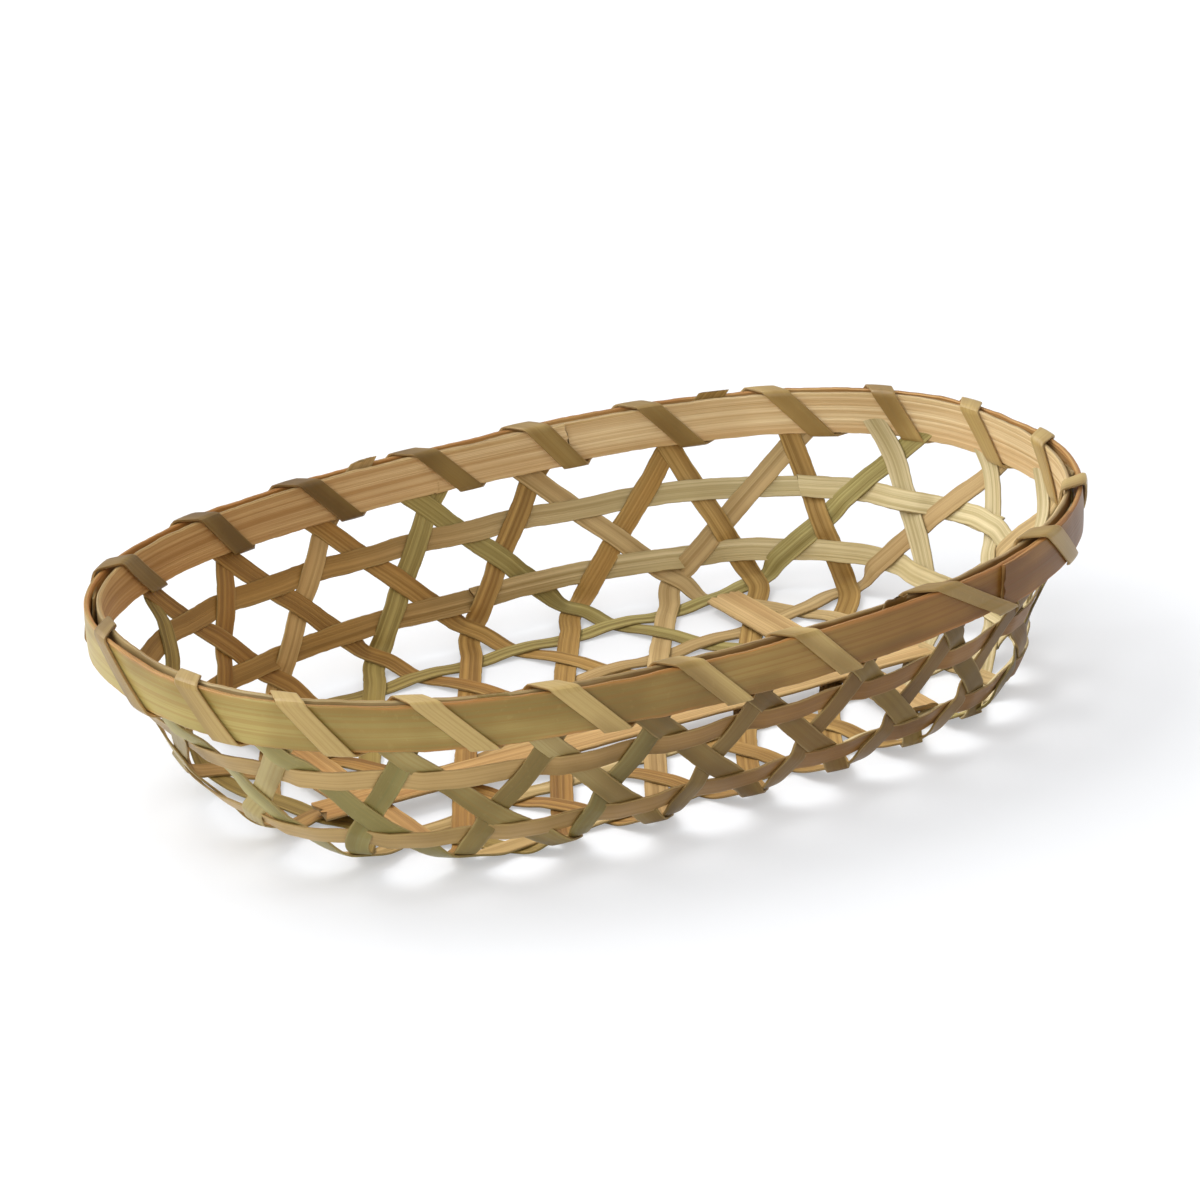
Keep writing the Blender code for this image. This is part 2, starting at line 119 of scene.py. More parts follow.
def ovalCurve(height, count=720):
    # points round the oval at this height and the length run to each, from +X counter-clockwise
    angle = np.linspace(0, 2 * math.pi, count + 1)
    middle = [np.interp(height, ovals[:, 0], ovals[:, k]) for k in (4, 5)]
    points = ontoOval(middle + np.stack([np.cos(angle), np.sin(angle)], -1), height)
    run = np.concatenate([[0], np.cumsum(np.linalg.norm(np.diff(points, axis=0), axis=1))])
    return points, run / run[-1], run[-1]


rimCurve = ovalCurve(rim["height"])
foldCurve = ovalCurve(wall["fold"][0])
rimRound = rimCurve[2]


def curvePoint(curve, share):
    # plan points at shares of a curve's length
    share = np.asarray(share, float) % 1
    return np.stack([np.interp(share, curve[1], curve[0][:, k]) for k in (0, 1)], -1)


def rimSaddle(points):
    # saddle * cos(2 * angle), with the angle taken on the circle that the oval stretches
    turn = np.arctan2(points[..., 1] / rim["width"], points[..., 0] / rim["length"])
    return rim["saddle"] * np.cos(2 * turn)


def rimPoint(share, out, rise):
    # by share of the rim's length, distance out from the woven layer, and height over the rim's top
    share, out, rise = np.broadcast_arrays(*(np.asarray(v, float) for v in (share, out, rise)))
    place = curvePoint(rimCurve, share)
    near = rim["tangentShare"]
    along = unit(curvePoint(rimCurve, share + near) - curvePoint(rimCurve, share - near))
    plan = place + out[..., None] * np.stack([along[..., 1], -along[..., 0]], -1)
    return np.concatenate([plan, (rim["height"] + rimSaddle(place) + rise)[..., None]], -1)


def viewAxes():
    # the camera's spot, back from the aim, and its right, up and back directions, rolled about the last
    az, el, roll = (math.radians(view[k]) for k in ("azimuth", "elevation", "roll"))
    back = np.array([math.sin(az) * math.cos(el), -math.cos(az) * math.cos(el), math.sin(el)])
    level = np.array([math.cos(az), math.sin(az), 0])
    steep = np.cross(back, level)
    right = math.cos(roll) * level + math.sin(roll) * steep
    up = math.cos(roll) * steep - math.sin(roll) * level
    spot = view["aim"] + back * view["distance"] + right * view["sideways"] + up * view["upwards"]
    return spot, right, up, back


def onPhoto(points):
    # pixels from the middle: the way right and down over the depth, times the lens over the sensor
    spot, right, up, back = viewAxes()
    away = points - spot
    scale = photoSize * view["lens"] / view["sensor"] / (away @ -back)
    return photoSize / 2 + np.stack([away @ right, away @ -up], -1) * scale[..., None]


def onSaddle(plan, height):
    # plan points at this height, which rises with the rim's saddle in proportion
    return np.concatenate([plan, (height + rimSaddle(plan) * height / rim["height"])[..., None]], -1)


def underRim(share, height):
    return onSaddle(ontoOval(curvePoint(rimCurve, share), height), height)


def onFold(share, height):
    return onSaddle(curvePoint(foldCurve, share), height)


def readPlaces(seen, place, heights):
    # the share and height whose point falls nearest to each pixel read off the photo
    shares, heights = np.arange(*search["shares"]), np.arange(*heights)
    pixels = np.array([onPhoto(place(shares, height)) for height in heights])
    found = {}
    for column, pixel in seen.items():
        miss = np.linalg.norm(pixels - pixel, axis=-1)
        k, j = np.unravel_index(miss.argmin(), miss.shape)
        found[column] = (float(shares[j]), float(heights[k]))
    return found


rimPairs = {column: (share, search["hiddenUnderRim"]) for column, share in hiddenRimShares.items()}
rimPairs |= readPlaces(seenUnderRim, underRim, search["underRim"])
foldPairs = {column: (share, search["hiddenOnFold"]) for column, share in hiddenFoldShares.items()}
foldPairs |= readPlaces(seenOnFold, onFold, search["onFold"])


def columnShare(column):
    # share of the rim's length at a column, which need not be whole
    columns = np.arange(-1, columnCount + 2)
    shares = np.array([rimPairs[c % columnCount][0] - c // columnCount for c in columns])
    column = np.asarray(column, float)
    return np.interp(column % columnCount, columns, shares) - column // columnCount


def foldPlace(column):
    # where the two strips of a column cross on the fold
    return onFold(*foldPairs[column % columnCount])


def pairPlace(column):
    # where the two strips of a column cross under the rim
    return underRim(*rimPairs[column % columnCount])


def nearShare(point):
    # 1 on the near side and at the left end, 0 along the far side and round the right end
    return np.interp(point[1] + 0.5 * max(point[0], 0), wall["straight"], [1, 0])


def bulged(point):
    # as far towards the oval at its height as this part of the wall has it
    plan = ontoOval(point, point[2])
    return np.append(point[:2] + nearShare(point) * (plan - point[:2]), point[2])


def hoopPlace(low, high, key):
    # at the hoop's height, rising by its tilt over x, on the line from one column's fold to another's rim
    start, end = foldPlace(low), pairPlace(high)
    height = wall["lowerHeight"] if key == "lower" else wall["upperHoop"][0]
    height += wall[key + "Tilt"] * start[0] - wall[key + "FarDrop"] * (1 - nearShare(start))
    return bulged(start + (end - start) * (height - start[2]) / (end[2] - start[2]))


def middlePlace(low, high):
    # midway between the nearest points of the line up from one column and the line down to it
    p, q = foldPlace(low), foldPlace(high)
    u, v = pairPlace(high) - p, pairPlace(low) - q
    s, t = np.linalg.lstsq(np.stack([u, -v], -1), q - p, rcond=None)[0]
    return bulged((p + s * u + q + t * v) / 2)


def weaveHoles():
    # lattice points of the floor's hexagon: its edge in order, and all of them
    corner, edge = (0, 0), []
    for side, step in zip(hexagonSides, hexagonSteps):
        for _ in range(side):
            edge.append(corner)
            corner = (corner[0] + step[0], corner[1] + step[1])
    spans = {q: [p for p, r in edge if r == q] for _, q in edge}
    return edge, {(p, q) for q, ps in spans.items() for p in range(min(ps), max(ps) + 1)}


def followStrip(start, beyond, left):
    # from triangle to triangle, turning left and right by turns; each crossing lies between two holes,
    # and the strip is on the inside wherever it is about to turn left
    (a, b), path, seen = start, [], set()
    while True:
        path.append((frozenset((a, b)), left))
        if (a, b) not in beyond or (a, b, left) in seen:
            return path
        seen.add((a, b, left))
        c = beyond[a, b]
        a, b = (a, c) if left else (c, b)
        left = not left


def nameFor(path, floor):
    # the strip's direction over the floor, from the angle between its end crossings there
    places = [np.sum(list(crossing), axis=0) @ [[0.5, 0], [0.25, math.sqrt(3) / 4]]
              for crossing, _ in path if crossing <= floor]
    run = places[-1] - places[0]
    return ("long", "right", "left", "long")[round(math.degrees(math.atan2(run[1], run[0])) % 180 / 60)]


def weaveStrips():
    # strips as lists of crossings, the places of the crossings on the wall, and those under the rim
    edge, floor = weaveHoles()
    n = columnCount
    fold = [edge[(j - hexagonStart) % n] for j in range(n)]
    low, high = [("low", j) for j in range(n)], [("high", j) for j in range(n)]
    faces = []
    for p, q in floor:
        faces += [((p, q), (p + 1, q), (p, q + 1)), ((p, q), (p + 1, q - 1), (p + 1, q))]
    faces = [face for face in faces if set(face) <= floor]
    for j in range(n):
        k = (j + 1) % n
        faces += [(fold[j], fold[k], low[j]), (fold[k], low[k], low[j]),
                  (low[j], high[k], high[j]), (low[j], low[k], high[k])]
    beyond = {}
    for a, b, c in faces:
        beyond[a, b], beyond[b, c], beyond[c, a] = c, a, b
    strips, done, counts = {}, set(), {"long": 0, "right": 0, "left": 0}
    for j in range(n):
        for left in (True, False):
            path = followStrip((high[(j + 1) % n], high[j]), beyond, left)
            if frozenset((path[0], path[-1])) not in done:
                done.add(frozenset((path[0], path[-1])))
                kind = nameFor(path, floor)
                counts[kind] += 1
                strips[f"{kind}_strip_{counts[kind]}"] = path
    j, k = strand["upperStart"], strand["lowerStart"]
    upper = followStrip((low[j], high[j + 1]), beyond, True)[:-1]
    lower = followStrip((fold[k + 1], low[k]), beyond, False)[:-1]
    strips["hoop_upper"] = upper + upper[:strand["lapCrossings"]]
    strips["hoop_lower"] = lower + lower[:strand["lapCrossings"]]
    places = {}
    for j in range(n):
        k = (j + 1) % n
        places[frozenset((fold[j], fold[k]))] = foldPlace(j)
        places[frozenset((fold[j], low[j]))] = hoopPlace(j, j - 1, "lower")
        places[frozenset((fold[k], low[j]))] = hoopPlace(j, j + 1, "lower")
        places[frozenset((low[j], low[k]))] = middlePlace(j, k)
        places[frozenset((low[j], high[j]))] = hoopPlace(j - 1, j, "upper")
        places[frozenset((low[j], high[k]))] = hoopPlace(j + 1, j, "upper")
        places[frozenset((high[j], high[k]))] = pairPlace(j)
    return strips, places, {frozenset((high[j - 1], high[j])) for j in range(n)}


def settleCrossings(strips, places):
    # each crossing of the floor moves to the mean of its neighbours along both strips
    near = {}
    for path in strips.values():
        for (first, _), (second, _) in zip(path, path[1:]):
            near.setdefault(first, set()).add(second)
            near.setdefault(second, set()).add(first)
    free = [crossing for crossing in near if crossing not in places]
    places = {**places, **{crossing: np.array([0, 0, floorLevel]) for crossing in free}}
    for _ in range(strand["settleRounds"]):
        for crossing in free:
            places[crossing] = sum(places[other] for other in near[crossing]) / len(near[crossing])
            places[crossing][2] = floorLevel
    return places


def rimInward(point):
    # level and square to the rim's oval: minus the gradient of |x/a|^n + |y/b|^n
    half, n = ovals[3, 1:3] / 2, ovals[3, 3]
    slope = np.abs(point[:2] / half) ** (n - 1) * np.sign(point[:2]) / half
    return -unit(np.append(slope, 0))


def rimEnd(point, way, drop):
    # on along the wall from the last crossing until it stands this far below the top of the rim
    top = rim["height"] + rimSaddle(point) - drop
    square = rimInward(point)
    along = way - square * (way @ square)
    return np.append(ontoOval(point + along * (top - point[2]) / along[2], rim["height"]), top)


def stripHeadings(path, places, rimSet):
    # mean of the directions from the crossing before and to the one after, flattened near the floor
    points = np.array([places[crossing] for crossing, _ in path])
    steps = unit(np.diff(points, axis=0))
    ways = unit(np.concatenate([steps[:1], steps[:-1] + steps[1:], steps[-1:]]))
    for k, sign in ((0, -1), (-1, 1)):
        if path[k][0] in rimSet:
            straightUp = unit(rimEnd(points[k], sign * ways[k], strand["endDrop"]) - points[k])
            ways[k] = unit(ways[k] + sign * straightUp)
    levels = [floorLevel, wall["fold"][0], wall["lowerHoop"][0]]
    keep = np.interp(points[:, 2], levels, [0, wall["foldSlope"], 1])
    return unit(ways * np.stack([np.ones_like(keep), np.ones_like(keep), keep], -1))


def stripStations(strips, places, rimSet, rises):
    # two stations a crossing with a short flat run between them, in layers along the crossing's normal;
    # under the rim there is one, and then the upright end between the bands
    runs = {name: stripHeadings(path, places, rimSet) for name, path in strips.items()}
    stacks = {}
    for name, path in strips.items():
        for k, (crossing, inside) in enumerate(path):
            stacks.setdefault(crossing, []).append((inside, k, name))
    found = {}
    for name, path in strips.items():
        points = [places[crossing] for crossing, _ in path]
        rows = []
        for k, (crossing, inside) in enumerate(path):
            stack = sorted(stacks[crossing])
            other = next(entry for entry in stack if entry[2] != name)
            heading, across = runs[name][k], runs[other[2]][other[1]]
            up = unit(np.cross(heading, across))
            up = up if up @ (strand["inward"] * points[k] + [0, 0, rim["height"]]) > 0 else -up
            offset = (stack.index((inside, k, name)) - (len(stack) - 1) / 2) * strand["layer"]
            middle = points[k] + up * offset
            lean = abs(heading @ across)
            reach = strand["flatShare"] * strand["width"] / 2 * (1 + lean) / math.sqrt(1 - lean ** 2)
            spans = [np.linalg.norm(points[k] - points[j]) for j in (k - 1, k + 1) if 0 <= j < len(points)]
            reach = min(reach, strand["mostFlat"] * min(spans))
            group = [(middle - heading * reach, heading, up), (middle + heading * reach, heading, up)]
            if crossing in rimSet:
                sign = -1 if k == 0 else 1
                end = rimEnd(points[k], sign * heading, strand["endDrop"] - rises.get((name, k == 0), 0))
                through = rimInward(end)
                tip = end + through * offset
                group = [(middle, heading, up), (tip, sign * unit(tip - middle), through)][::sign]
            rows += group
        found[name] = tuple(np.array(column) for column in zip(*rows))
    return found


def smoothLine(mids, ways, throughs, step=0.0007):
    # Hermite pieces with each chord's own length as tangent length, read again at even steps along them
    chord = np.linalg.norm(np.diff(mids, axis=0), axis=1)[:, None, None]
    t = np.linspace(0, 1, 12, endpoint=False)[None, :, None]
    p, q = mids[:-1, None], mids[1:, None]
    u, v = ways[:-1, None] * chord, ways[1:, None] * chord
    line = ((2 * t ** 3 - 3 * t ** 2 + 1) * p + (t ** 3 - 2 * t ** 2 + t) * u
            + (3 * t ** 2 - 2 * t ** 3) * q + (t ** 3 - t ** 2) * v).reshape(-1, 3)
    ease = 3 * t ** 2 - 2 * t ** 3
    normal = ((1 - ease) * throughs[:-1, None] + ease * throughs[1:, None]).reshape(-1, 3)
    line, normal = np.vstack([line, mids[-1]]), np.vstack([normal, throughs[-1]])
    run = np.concatenate([[0], np.cumsum(np.linalg.norm(np.diff(line, axis=0), axis=1))])
    even = np.linspace(0, run[-1], max(4, int(run[-1] / step)))
    centre = np.stack([np.interp(even, run, line[:, k]) for k in range(3)], -1)
    normal = np.stack([np.interp(even, run, normal[:, k]) for k in range(3)], -1)
    way = unit(np.gradient(centre, axis=0))
    normal = unit(normal - np.sum(normal * way, -1, keepdims=True) * way)
    return centre, np.cross(normal, way), normal, even


def wander(run, wavelength, seed):
    # random values at every wavelength, joined by cosine easing, in the range -1 to 1
    chance = np.random.default_rng(seed)
    values = chance.uniform(-1, 1, int(run.max() / wavelength) + 3)
    place = run / wavelength
    k = place.astype(int)
    ease = (1 - np.cos(math.pi * (place - k))) / 2
    return values[k] * (1 - ease) + values[k + 1] * ease


def meshOf(name, points, faces, uvs, skin, edge, smoothAngle=40):
    # points and faces as given, with the grain's UV map, and how far each point is skin and edge
    mesh = bpy.data.meshes.new(name)
    mesh.from_pydata(points.tolist(), [], faces)
    corners = np.empty(len(mesh.loops), np.int32)
    mesh.loops.foreach_get("vertex_index", corners)
    mesh.uv_layers.new(name="grain").data.foreach_set("uv", uvs[corners].astype(np.float32).ravel())
    for label, values in (("skin", skin), ("edge", edge)):
        mesh.attributes.new(label, "FLOAT", "POINT").data.foreach_set("value", values.astype(np.float32))
    mesh.polygons.foreach_set("use_smooth", [True] * len(mesh.polygons))
    mesh.set_sharp_from_angle(angle=math.radians(smoothAngle))
    mesh.update()
    obj = bpy.data.objects.new(name, mesh)
    bpy.context.scene.collection.objects.link(obj)
    return obj


section = {
    "columns": 11, "dome": 0.22, "bevel": 0.05,
    "skinDepth": 0.013,   # how far apart the grain of the two sides is read
}
unevenness = {   # pairs of an amount and its wavelength: shares of the width and thickness, then metres
    "width": ((0.035, 0.018), (0.02, 0.005)), "thickness": (0.08, 0.012),
    "edge": ((0.00005, 0.0011), (0.00009, 0.004)), "sway": (0.0001, 0.025),
    "endReach": 0.003,      # how far from an end its cut still shifts the section
    "grainStep": 0.31,      # how far along the grain the next piece starts, times its seed
}


def stripSection():
    # one loop round a strip's cross-section: (place across, height, skin, edge), with the flesh side
    # flat at +1, the skin side domed to -1, and the edges bevelled
    a = np.linspace(-1 + section["bevel"], 1 - section["bevel"], section["columns"])
    flesh = np.stack([a, np.ones_like(a), np.zeros_like(a), np.abs(a)], -1)
    skin = np.stack([-a, -1 + section["dome"] * a ** 2, np.ones_like(a), np.abs(a)], -1)
    right = np.array([[1, 0.55, 0.1, 1], [1, -0.4, 0.9, 1]])
    left = np.array([[-1, -0.4, 0.9, 1], [-1, 0.55, 0.1, 1]])
    return np.vstack([flesh, right, skin, left])


def sweptFaces(count, size, flipped=False):
    # quads between each ring of points and the next, and the two ends
    ring = np.arange(size)
    first = (np.arange(count - 1)[:, None] * size + ring[None]).ravel()
    after = (np.arange(count - 1)[:, None] * size + (ring[None] + 1) % size).ravel()
    near, far = ring, ring + (count - 1) * size
    if flipped:
        quads = np.stack([first, first + size, after + size, after], -1)
        return quads.tolist() + [near.tolist(), far[::-1].tolist()]
    quads = np.stack([first, after, after + size, first + size], -1)
    return quads.tolist() + [near[::-1].tolist(), far.tolist()]


def stripMesh(name, line, width, thickness, seed, slants=None, fray=0.0002):
    # the section carried along the line; widths wander, edges are rough; an end is cut on its slant, or
    # else level, where the rise of its way makes up for the rise across it
    centre, across, through, run = line
    loop = stripSection()
    count, size = len(run), len(loop)
    (slow, slowLength), (quick, quickLength) = unevenness["width"]
    wide = width / 2 * (1 + slow * wander(run, slowLength, seed) + quick * wander(run, quickLength, seed + 1))
    (fine, fineLength), (broad, broadLength) = unevenness["edge"]
    rough = [fine * wander(run, fineLength, seed + k) + broad * wander(run, broadLength, seed + k + 2)
             for k in (2, 3)]
    reach = np.where(loop[None, :, 0] > 0, (wide + rough[0])[:, None], (wide + rough[1])[:, None])
    sway, swayLength = unevenness["sway"]
    side = loop[None, :, 0] * reach + sway * wander(run, swayLength, seed + 7)[:, None]
    swell, swellLength = unevenness["thickness"]
    deep = thickness / 2 * (1 + swell * wander(run, swellLength, seed + 8))[:, None] * loop[None, :, 1]
    points = centre[:, None] + across[:, None] * side[..., None] + through[:, None] * deep[..., None]
    chance = np.random.default_rng(seed + 9)
    way = unit(np.gradient(centre, axis=0))
    jag = fray * chance.uniform(-1, 1, (2, section["columns"]))
    place = np.linspace(-1, 1, section["columns"])
    for end, k in ((0, 0), (1, -1)):
        slant = slants[end] if slants else -across[k][2] / way[k][2]
        shift = slant * width / 2 * loop[:, 0] + np.interp(loop[:, 0], place, jag[end])
        fade = np.clip(1 - np.abs(run - run[k]) / unevenness["endReach"], 0, 1)[:, None]
        points += way[:, None] * (shift[None] * fade)[..., None]
    grain = np.stack([np.broadcast_to(run[:, None], side.shape) + unevenness["grainStep"] * seed,
                      side + section["skinDepth"] * loop[None, :, 2]], -1).reshape(-1, 2)
    values = np.broadcast_to(loop[None], (count, size, 4)).reshape(-1, 4)
    return meshOf(name, points.reshape(-1, 3), sweptFaces(count, size), grain, values[:, 2], values[:, 3])


class Wire:
    # a shader socket; Python's operators on it add Math nodes to its tree

    def __init__(self, tree, socket=None):
        self.tree, self.socket = tree, socket

    def add(self, kind, settings, values, out=0):
        # any node: its settings first, then the value or link of each socket, by name or number
        node = self.tree.nodes.new(kind)
        for name, value in settings.items():
            setattr(node, name, value)
        for name, value in values.items():
            if isinstance(value, Wire):
                self.tree.links.new(value.socket, node.inputs[name])
            else:
                node.inputs[name].default_value = value
        return Wire(self.tree, node.outputs[out])

    def math(self, operation, *values):
        return self.add("ShaderNodeMath", {"operation": operation}, dict(enumerate(values)))

    def __add__(self, other):
        return self.math("ADD", self, other)

    def __mul__(self, other):
        return self.math("MULTIPLY", self, other)

    def __sub__(self, other):
        return self.math("SUBTRACT", self, other)

    def __rsub__(self, other):
        return self.math("SUBTRACT", other, self)

    __radd__, __rmul__ = __add__, __mul__

    def between(self, low, high):
        # 0 below low, 1 above high, eased between them
        return self.add("ShaderNodeMapRange", {"interpolation_type": "SMOOTHSTEP", "clamp": True},
                        {0: self, 1: low, 2: high, 3: 0.0, 4: 1.0})

    def tinted(self, other):
        # this colour times another
        return self.add("ShaderNodeMix", {"data_type": "RGBA", "blend_type": "MULTIPLY"},
                        {0: 1.0, 6: self, 7: other}, out=2)

    def mix(self, first, second, how="MIX"):
        # this wire's share of the second colour over the first
        return self.add("ShaderNodeMix", {"data_type": "RGBA", "blend_type": how, "clamp_result": True},
                        {0: self, 6: first, 7: second}, out=2)


def tint(red, green, blue):
    # a colour as a screen shows it, 0 to 255, turned to linear light
    shown = np.array([red, green, blue]) / 255
    linear = np.where(shown <= 0.04045, shown / 12.92, ((shown + 0.055) / 1.055) ** 2.4)
    return (*linear.tolist(), 1.0)


fibreScales = {   # noise over a metre along and across the grain, its detail and its roughness
    "broad": (5, 620, 2.0, 0.55), "fine": (8, 1700, 3.0, 0.6), "hair": (18, 4600, 2.0, 0.55),
    "slow": (12, 110, 2.0, 0.55), "worn": (60, 700, 2.0, 0.55),
}


def bambooFinish(name, look):
    # fibres are noise stretched along the grain; skin is smooth and waxy, flesh is rough and streaked; both
    # sides are tinted across the basket with painted shade and painted reflection
    material = bpy.data.materials.new(name)
    material.use_nodes = True
    tree = material.node_tree
    shader = tree.nodes["Principled BSDF"]
    start = Wire(tree)
    grain = start.add("ShaderNodeUVMap", {"uv_map": "grain"}, {})
    place = start.add("ShaderNodeTexCoord", {}, {}, out=3)
    skin = start.add("ShaderNodeAttribute", {"attribute_name": "skin"}, {}, out=2)
    edge = start.add("ShaderNodeAttribute", {"attribute_name": "edge"}, {}, out=2)

    def fibres(key):
        along, across, detail, rough = fibreScales[key]
        spread = start.add("ShaderNodeMapping", {"vector_type": "POINT"}, {0: grain, 3: (along, across, 1.0)})
        return start.add("ShaderNodeTexNoise", {"noise_dimensions": "2D"},
                         {"Vector": spread, "Scale": 1.0, "Detail": detail, "Roughness": rough})

    def cloud(scale, detail=2.0):
        return start.add("ShaderNodeTexNoise", {}, {"Vector": place, "Scale": scale, "Detail": detail})

    def across(axis, span, tints):
        # painted light: one tint at one side of the basket, eased into another over this span of the axis,
        # standing for shade and reflection that fall unevenly across it
        away = start.add("ShaderNodeVectorMath", {"operation": "DOT_PRODUCT"}, {0: place, 1: axis}, out=1)
        return away.between(*span).mix(*tints)

    broad, fine, hair, slow = (fibres(key) for key in ("broad", "fine", "hair", "slow"))
    blotch, speck = cloud(55.0), cloud(900.0, 3.0)
    lines = 1 - (fine - 0.5).math("ABSOLUTE").between(0.0, 0.03)
    flesh = (broad * 0.5 + fine * 0.5).between(0.34, 0.68).mix(look["fleshDark"], look["fleshLight"])
    flesh = (slow.between(0.5, 0.72) * 0.5).mix(flesh, look["fleshWarm"])
    flesh = (lines * hair.between(0.35, 0.65) * look["lineStrength"]).mix(flesh, look["line"])
    # mostly painted shade, partly the bamboo's own tone: the flesh side darkened towards the left end, whose
    # inside lies out of the light
    flesh = flesh.tinted(across((1, 0.1, 0), look["fleshShadeSpan"], look["fleshPaintedShade"]))
    waxy = (slow * 0.6 + blotch * 0.4).between(0.40, 0.60).mix(look["skinDark"], look["skinLight"])
    waxy = ((fine.between(0.42, 0.60)) * 0.35).mix(waxy, look["skinStreak"])
    waxy = (speck.between(0.60, 0.72) * 0.15).mix(waxy, look["skinLight"])
    # painted shade and painted reflection: the skin tinted from one side of the basket to the other
    waxy = waxy.tinted(across(look["skinPaintedLightAxis"], look["skinPaintedLightSpan"], look["skinPaintedLight"]))
    colour = skin.mix(flesh, waxy)
    worn = edge.between(0.80, 0.98) * fibres("worn").between(0.38, 0.60)
    colour = (worn * look["edgeWear"]).mix(colour, look["edge"])
    colour = ((1 - blotch.between(0.30, 0.62)) * 0.22).mix(colour, look["shade"], "MULTIPLY")
    tree.links.new(colour.socket, shader.inputs["Base Color"])
    rough = look["fleshRough"] + (look["skinRough"] - look["fleshRough"]) * skin + (hair - 0.5) * 0.16
    tree.links.new(rough.socket, shader.inputs["Roughness"])
    tree.links.new((skin * look["wax"]).socket, shader.inputs["Coat Weight"])
    shader.inputs["Coat Roughness"].default_value = 0.28
    shader.inputs["Specular IOR Level"].default_value = 0.3
    relief = (broad * 0.5 + fine * 0.8 + hair * 0.25 - lines * 0.3) * (1 - skin * 0.72) + slow * 0.6
    bump = start.add("ShaderNodeBump", {},
                     {"Height": relief, "Strength": look["relief"], "Distance": 0.00028})
    tree.links.new(bump.socket, shader.inputs["Normal"])
    return material


def tones(*shown):
    # the six colours of a kind of bamboo, flesh side first, as a screen shows them
    keys = ("fleshDark", "fleshLight", "fleshWarm", "skinDark", "skinLight", "skinStreak")
    return {key: tint(*colour) for key, colour in zip(keys, shown)}


common = {
    "line": tint(84, 58, 22), "lineStrength": 0.75, "edge": tint(206, 178, 112), "edgeWear": 0.30,
    "shade": tint(190, 176, 148), "fleshRough": 0.62, "skinRough": 0.48, "wax": 0.12, "relief": 0.85,
    # painted shade: the flesh side darker to the left of this span of x
    "fleshShadeSpan": (-0.07, 0.07), "fleshPaintedShade": (tint(230, 208, 172), tint(255, 255, 255)),
    # painted shade: the skin darker towards the right end
    "skinPaintedLightAxis": (1, 0, 0), "skinPaintedLightSpan": (-0.075, 0.020),
    "skinPaintedLight": (tint(255, 255, 255), tint(186, 160, 128)),
}
families = {
    "ochre": tones((140, 106, 50), (194, 158, 92), (172, 128, 62),
                   (130, 112, 58), (166, 148, 90), (148, 116, 56)),
    "olive": tones((136, 120, 64), (188, 174, 110), (160, 146, 80),
                   (122, 112, 58), (160, 150, 92), (140, 118, 58)),
    "tan": tones((166, 138, 88), (212, 184, 132), (188, 154, 102),
                 (144, 124, 68), (182, 164, 108), (156, 128, 70)),
    "straw": tones((178, 160, 110), (230, 214, 172), (204, 182, 130),
                   (136, 124, 68), (176, 166, 108), (152, 134, 74)),
}
hoopLook = {
    # painted shade: the hoops' flesh darker towards the left end
    **families["straw"], "fleshShadeSpan": (-0.03, 0.075),
    "fleshPaintedShade": (tint(196, 160, 106), tint(255, 255, 250)),
    "skinDark": tint(148, 120, 64), "skinLight": tint(190, 158, 100), "skinStreak": tint(160, 128, 70),
}
stripTones = {
    "long": ("olive", "tan", "tan", "straw", "straw"),
    "right": ("tan", "olive", "ochre", "ochre", "ochre", "ochre", "tan", "straw", "straw"),
    "left": ("ochre", "olive", "ochre", "ochre", "ochre", "olive", "tan"),
}
slots = {"long": "lengthwise_strip", "right": "right_leaning_strip", "left": "left_leaning_strip",
         "hoop": "hoop_strip"}


def settle(piece, material, slotName, *nodes):
    # finish, body, record slot (not used) and the CAD nodes that this piece stands for
    piece.data.materials.append(material)
    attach(piece, "root")
    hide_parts(*nodes)
    return piece


strips, wallPlaces, rimSet = weaveStrips()
raisedEnds = {   # how much further some ends stand up out of the rim
    ("right_strip_1", True): 0.0024, ("right_strip_5", True): 0.0022, ("right_strip_7", False): 0.0019,
    ("left_strip_1", False): 0.0020,
}
stations = stripStations(strips, settleCrossings(strips, wallPlaces), rimSet, raisedEnds)
for number, (name, found) in enumerate(stations.items()):
    kind = name.split("_")[0]
    look = hoopLook if kind == "hoop" else families[stripTones[kind][int(name.split("_")[-1]) - 1]]
    finish = bambooFinish(f"{name}_bamboo", {**common, **look})
    line = smoothLine(*found)
    piece = stripMesh(f"{name}_woven", line, strand["width"], strand["thickness"], 100 + 20 * number,
                      slants=(0.3, -0.3) if kind == "hoop" else None)
    settle(piece, finish, slots[kind], name)
print("woven strips:", len(stations))


bands = {
    "near": 0.00060, "thickness": 0.00095, "step": 0.0008, "innerJoint": 5.25, "outerJoint": 12.5,
    "lapShare": 0.055, "liftShare": 0.9, "liftPower": 0.8,   # of the lap: how far its end steps off the start
}


def bandLine(side, jointColumn):
    # once round the rim and on over its own start, stepping off it more and more towards the band's end
    end = float(columnShare(jointColumn))
    count = int(rimRound * (1 + bands["lapShare"]) / bands["step"])
    back = np.linspace(1 + bands["lapShare"], 0, count)
    run = (back[0] - back) * rimRound
    over = np.interp(back * rimRound, [0, bands["lapShare"] * rimRound], [1, 0]) ** bands["liftPower"]
    out = side * (bands["near"] + bands["thickness"] / 2 + over * bands["thickness"] * bands["liftShare"])
    centre = rimPoint(end + back, out, -rim["bandHeight"] / 2)
    way = unit(np.gradient(centre, axis=0))
    through = unit(rimPoint(end + back, -1.0, 0.0) - rimPoint(end + back, 0.0, 0.0))
    through = unit(through - np.sum(through * way, -1, keepdims=True) * way)
    return centre, np.cross(through, way), through, run


